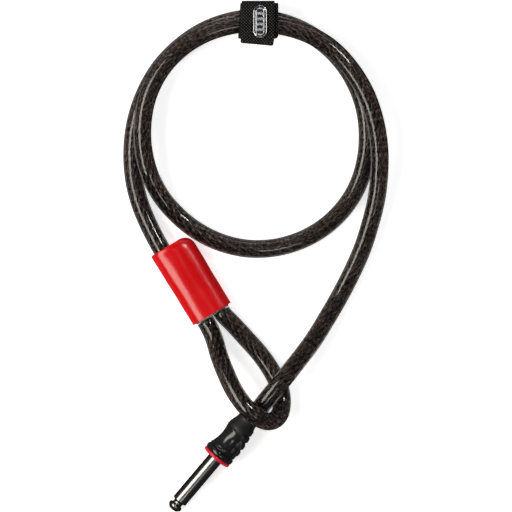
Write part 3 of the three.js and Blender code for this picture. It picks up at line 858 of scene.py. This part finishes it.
def tail_edges(_, from_end):
    """The tail narrows towards its end, where its corners are clipped."""
    clip = 0.7 * np.clip(1 - from_end / 0.7, 0, 1)
    narrow = 1 - smoothstep(0, 6, from_end)
    lean = 0.7 * (1 - smoothstep(0, 26, from_end))
    return TAIL_X[0] - lean + clip, TAIL_X[1] - 0.9 * narrow - clip


def stitch(x, z):
    """One stitch: a short rod that arches out of the fabric."""
    rod = []
    for t in np.linspace(0, 1, 7):
        arch = math.sin(math.pi * t)
        r = 0.12 + 0.16 * math.sqrt(arch)
        rod.append([
            ((x + STITCH_LENGTH * t) * MM, (TAIL_SIDE_Y - 0.3 + 0.12 * arch + r * math.cos(a)) * MM,
             (z + r * math.sin(a)) * MM)
            for a in np.linspace(0, 2 * math.pi, 6, endpoint=False)])
    return rod


def add_stitches(material):
    """Two rows of stitches that sew the tail to the band's far side."""
    first = TAIL_X[0] + 1.8
    rods = [stitch(first + STITCH_PITCH * i, z) for z in STITCH_ROWS for i in range(STITCHES)]
    dress(rods_object("strap_stitches", rods), material, "strap")


def hook(x, y, way):
    """One hook of the tape: a rod that hangs from the pad and bends to one side."""
    return [
        [((x + way * dx + HOOK_R * math.cos(a)) * MM, (y + HOOK_R * math.sin(a)) * MM, z * MM)
         for a in np.linspace(0, 2 * math.pi, 5, endpoint=False)]
        for dx, z in HOOK_BEND]


def add_hooks(material):
    """The hook tape: a thin pad under the tail with a field of small hooks."""
    low_x, high_x = TAIL_X[0] + 1.0, TAIL_X[1] - 1.2
    spots = [
        (x, y) for x in np.arange(low_x + 0.8, high_x - 0.5, HOOK_PITCH)
        for y in np.arange(PAD_Y[0] + 0.7, PAD_Y[1] - 0.3, HOOK_PITCH)]
    hooks = rods_object("hook_field", [hook(x, y, 1 if i % 2 else -1) for i, (x, y) in enumerate(spots)])
    dress(hooks, material, "strap_end")
    rows = []
    for y in np.linspace(*PAD_Y, 40):
        wave = 0.02 * math.sin(y * 3)
        ring = [
            (low_x, 28.85), (low_x + 0.2, 28.72 + wave), (high_x - 0.2, 28.72 + wave), (high_x, 28.85),
            (high_x, 29.15), (low_x, 29.15),
        ]
        rows.append([(x * MM, y * MM, z * MM) for x, z in ring])
    pad = outward(grid_object("hook_tape_pad", np.array(rows), uv_size=(0.45 * MM, MM)))
    dress(pad, material, "strap_end")
    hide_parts("hook_patch")
    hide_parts("hook_patch")


def add_strap():
    fabric = webbing()
    t = STRAP_T / 2
    low, high = BAND_Y[0] + t, BAND_Y[1] - t
    loop = [(high, BAND_TOP - t), (low, BAND_TOP - t), (low, t), (high, t)]
    band = strip("strap_band_woven", rounded_path(loop, [3, 6, 6, 6], True), band_edges, True)
    dress(band, fabric, "strap")
    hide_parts("strap_band")
    side, top = TAIL_SIDE_Y - t, TAIL_TOP - t
    fold = [(side, 7.5), (side, top), (158, top), (148, top), (TAIL_END_Y, top - 0.5)]
    path = rounded_path(fold, [0, 2.3, 4, 3, 0], False)
    tail = strip("strap_tail_woven", path, tail_edges, False, skew=-1.8)
    dress(tail, fabric)
    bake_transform(tail)
    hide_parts("strap_tail")
    add_stitches(fabric)
    add_hooks(hook_tape())


# ---------- badge ----------
BADGE_MIDDLE = (2.8, 156.1)
BADGE_W = 9.6
BADGE_L = 22.2
BADGE_BASE = 30.3
RIM_SECTION = [
    (0.0, 0.0), (0.0, 0.9), (0.12, 1.35), (0.4, 1.65), (0.7, 1.65), (0.95, 1.4), (1.05, 1.0), (1.05, 0.0)]
PLATE_INSET = 1.2
SLOTS = 5
SLOT_PITCH = 3.6
SLOT_HALF_W = 1.9
SLOT_HALF_L = 0.85
ENAMEL_HEIGHT = 0.72


def pill_outline(inset, count=120):
    radius, reach = BADGE_W / 2 - inset, (BADGE_L - BADGE_W) / 2
    angles = np.linspace(0, 2 * math.pi, count, endpoint=False)
    y = radius * np.sin(angles)
    return np.stack([radius * np.cos(angles), y + np.where(y >= 0, reach, -reach)], axis=1)


def enamel_height(x, y):
    return np.full_like(x, ENAMEL_HEIGHT)


def badge_height(x, y):
    """The face: a raised frame inside the rim, then a field that the slots cut."""
    radius, reach = BADGE_W / 2 - PLATE_INSET, (BADGE_L - BADGE_W) / 2
    from_edge = radius - np.hypot(x, np.clip(np.abs(y) - reach, 0, None))
    height = 0.45 + 0.75 * smoothstep(0.35, 0.6, from_edge)
    nearest = np.abs(y[..., None] - SLOT_PITCH * (np.arange(SLOTS) - (SLOTS - 1) / 2)).min(-1)
    cut = (1 - smoothstep(SLOT_HALF_L - 0.15, SLOT_HALF_L + 0.15, nearest)) * (
        1 - smoothstep(SLOT_HALF_W - 0.15, SLOT_HALF_W + 0.15, np.abs(x)))
    return height - 0.7 * cut


def badge_face(name, inset, height_of):
    """A plate inside the rim, with its top at the height that height_of gives."""
    radius, reach = BADGE_W / 2 - inset, (BADGE_L - BADGE_W) / 2
    y = (reach + radius) * np.sin(np.linspace(-0.498, 0.498, 150) * math.pi)
    over = np.clip(np.abs(y) - reach, 0, None)
    half = np.sqrt(radius**2 - over**2)
    x = half[:, None] * np.linspace(-1, 1, 44)[None]
    y = y[:, None] + 0 * x
    top = np.stack([x, y, height_of(x, y)], axis=-1)
    under = np.stack([x, y, 0 * x], axis=-1)[:, ::-1]
    skin = np.concatenate([top, under], axis=1) + np.array([*BADGE_MIDDLE, BADGE_BASE])
    return outward(grid_object(name, skin * MM, uv_size=(0.13 * MM, 0.18 * MM)))


def add_badge():
    metal = badge_metal()
    rows = []
    for inset, height in RIM_SECTION:
        outline = pill_outline(inset) + np.array(BADGE_MIDDLE)
        rows.append(np.column_stack([outline, np.full(len(outline), BADGE_BASE + height)]) * MM)
    rim = outward(grid_object("badge_rim_cast", np.array(rows), wrap_rows=True, uv_size=(MM, MM)))
    dress(rim, metal, "strap_end")
    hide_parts("badge_rim")
    face = badge_face("badge_face", PLATE_INSET, badge_height)
    dress(face, metal, "strap_end")
    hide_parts("badge_plate")
    enamel = badge_face("badge_enamel", PLATE_INSET - 0.2, enamel_height)
    dress(enamel, badge_enamel(), "strap_end")
    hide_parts("badge_plate")


add_plug()
add_ferrule()
add_strap()
add_badge()

# ---------- stage ----------
FLOOR_SIZE = 40.0
FLOOR_Z = -0.2 * MM


def add_floor():
    """A white floor that glows a little; glossy rays miss it, which keeps polished rims dark."""
    half = FLOOR_SIZE / 2
    corners = [(x, y, FLOOR_Z) for x, y in ((-half, -half), (half, -half), (half, half), (-half, half))]
    floor = new_object("floor", corners, [[0, 1, 2, 3]])
    finish = Finish("floor_paper", (0.93, 0.93, 0.93), 0.9)
    finish.set("Specular IOR Level", 0.0)
    finish.set("Emission Color", (1, 1, 1, 1))
    finish.set("Emission Strength", 0.7)
    floor.data.materials.append(finish.material)
    floor.visible_glossy = False


def add_light(name, place, target, size, power, color=(1, 1, 1)):
    data = bpy.data.lights.new(name, "AREA")
    data.shape = "RECTANGLE"
    data.size, data.size_y = size
    data.energy = power
    data.color = color
    light = bpy.data.objects.new(name, data)
    light.location = place
    heading = Vector(target) - Vector(place)
    light.rotation_euler = heading.to_track_quat("-Z", "Y").to_euler()
    bpy.context.scene.collection.objects.link(light)


def add_studio():
    world = bpy.data.worlds.new("studio")
    world.use_nodes = True
    world.node_tree.nodes["Background"].inputs["Color"].default_value = (0.9, 0.95, 1, 1)
    world.node_tree.nodes["Background"].inputs["Strength"].default_value = 0.05
    bpy.context.scene.world = world
    bpy.context.scene.view_settings.view_transform = "Standard"
    add_light("left_strip", (-0.88, -0.12, 1.09), (0, -0.12, 0), (1.35, 0.60), 17, (1, 0.95, 0.88))
    add_light("top_strip", (0.1, 1.4, 0.5), (0, 0, 0), (1.6, 0.1), 2.5)
    add_light("right_box", (0.62, 0.62, 1.0), (0, 0, 0), (0.2, 0.2), 3)
    add_light("badge_box", (0.0, 0.17, 1.9), (0, 0.17, 0), (0.3, 0.3), 0.22)
    add_light("pin_box", (0.2, -0.95, 1.85), (0, -0.1, 0), (0.4, 0.4), 2.6)


add_floor()
add_studio()
